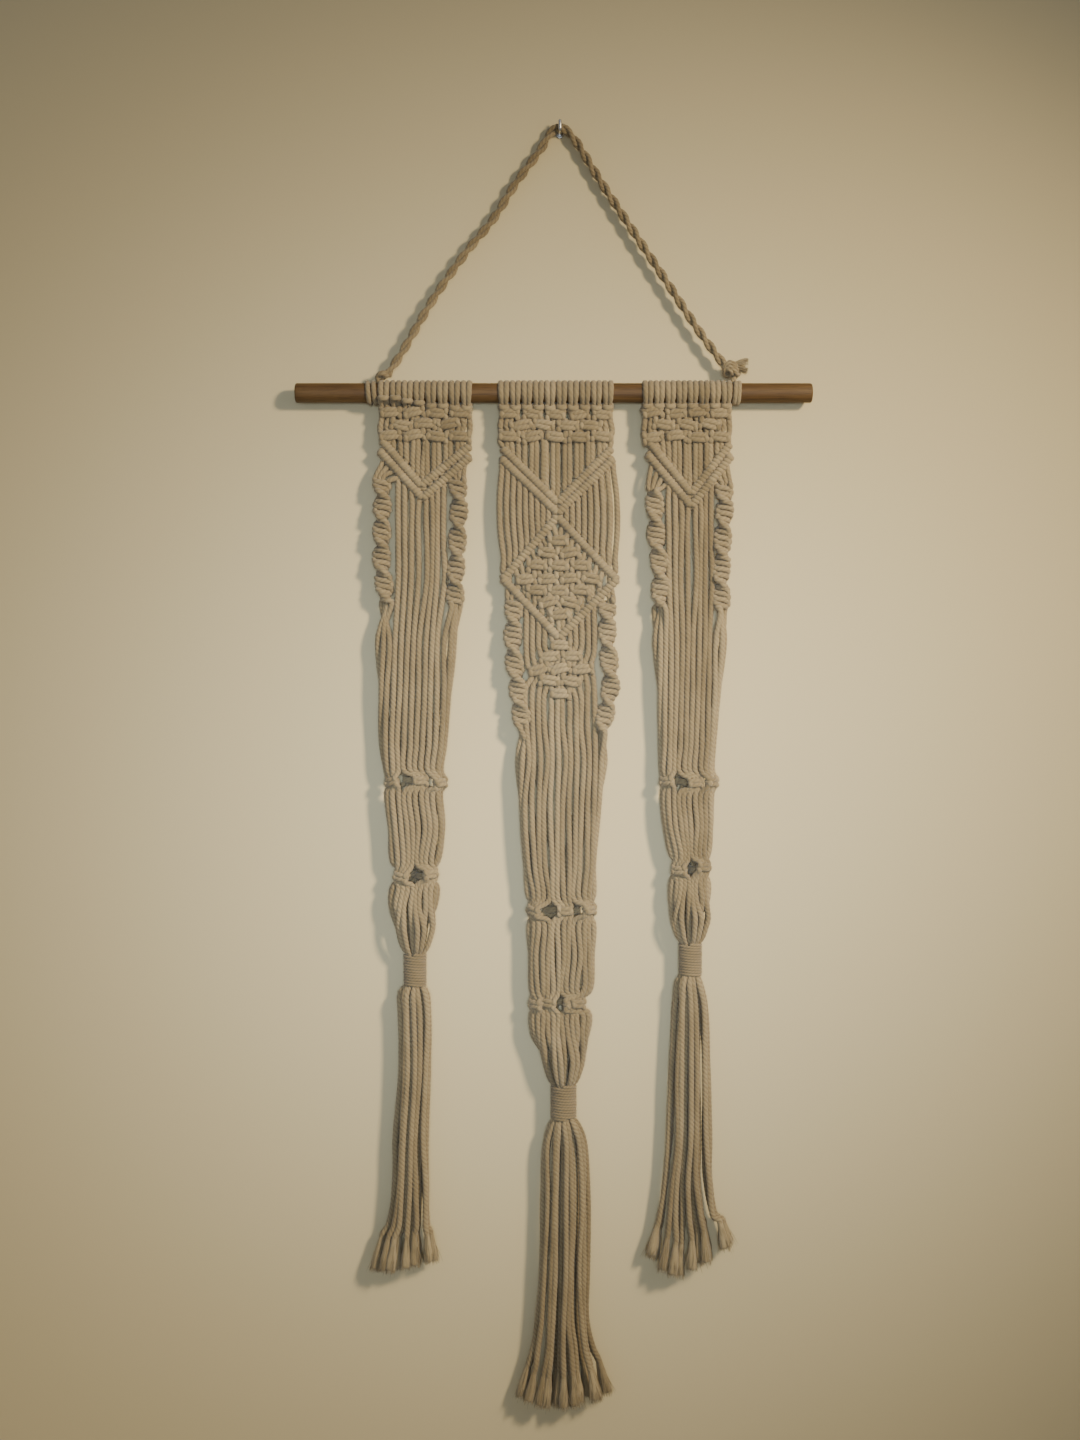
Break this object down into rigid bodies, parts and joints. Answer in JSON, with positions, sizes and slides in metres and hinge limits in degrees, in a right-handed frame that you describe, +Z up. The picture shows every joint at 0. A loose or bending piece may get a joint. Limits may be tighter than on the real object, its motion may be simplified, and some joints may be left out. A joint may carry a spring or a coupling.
{
  "type": "macrame wall hanging with dowel, hanging cord and wall hook",
  "caption": "Knotted cotton wall hanging: panels of square knots, hitch bars, spirals and tassels on a wooden dowel, hung by a twisted cord from a wall hook.",
  "frame": {"origin": "centre of the wall hook's round back face, on the wall", "axes": "+Z up along the hanging's length, +X to the viewer's right along the dowel, -Y out of the wall towards the viewer"},
  "size_m": [0.4493, 0.0256, 1.1194],
  "materials": {
    "cotton": "soft three-ply twisted cotton cord, ecru to beige, matt and a little fuzzy",
    "dowel": "mid-brown stained wood with a low sheen",
    "hook": "bright plated steel"
  },
  "bodies": {
    "root": {"wall_hook": "hook", "hanging_cord": "cotton", "dowel": "dowel", "left_panel": "cotton", "left_wrap": "cotton", "left_tassel": "cotton", "center_panel": "cotton", "center_wrap": "cotton", "center_tassel": "cotton", "right_panel": "cotton", "right_wrap": "cotton", "right_tassel": "cotton"}
  },
  "joints": []
}
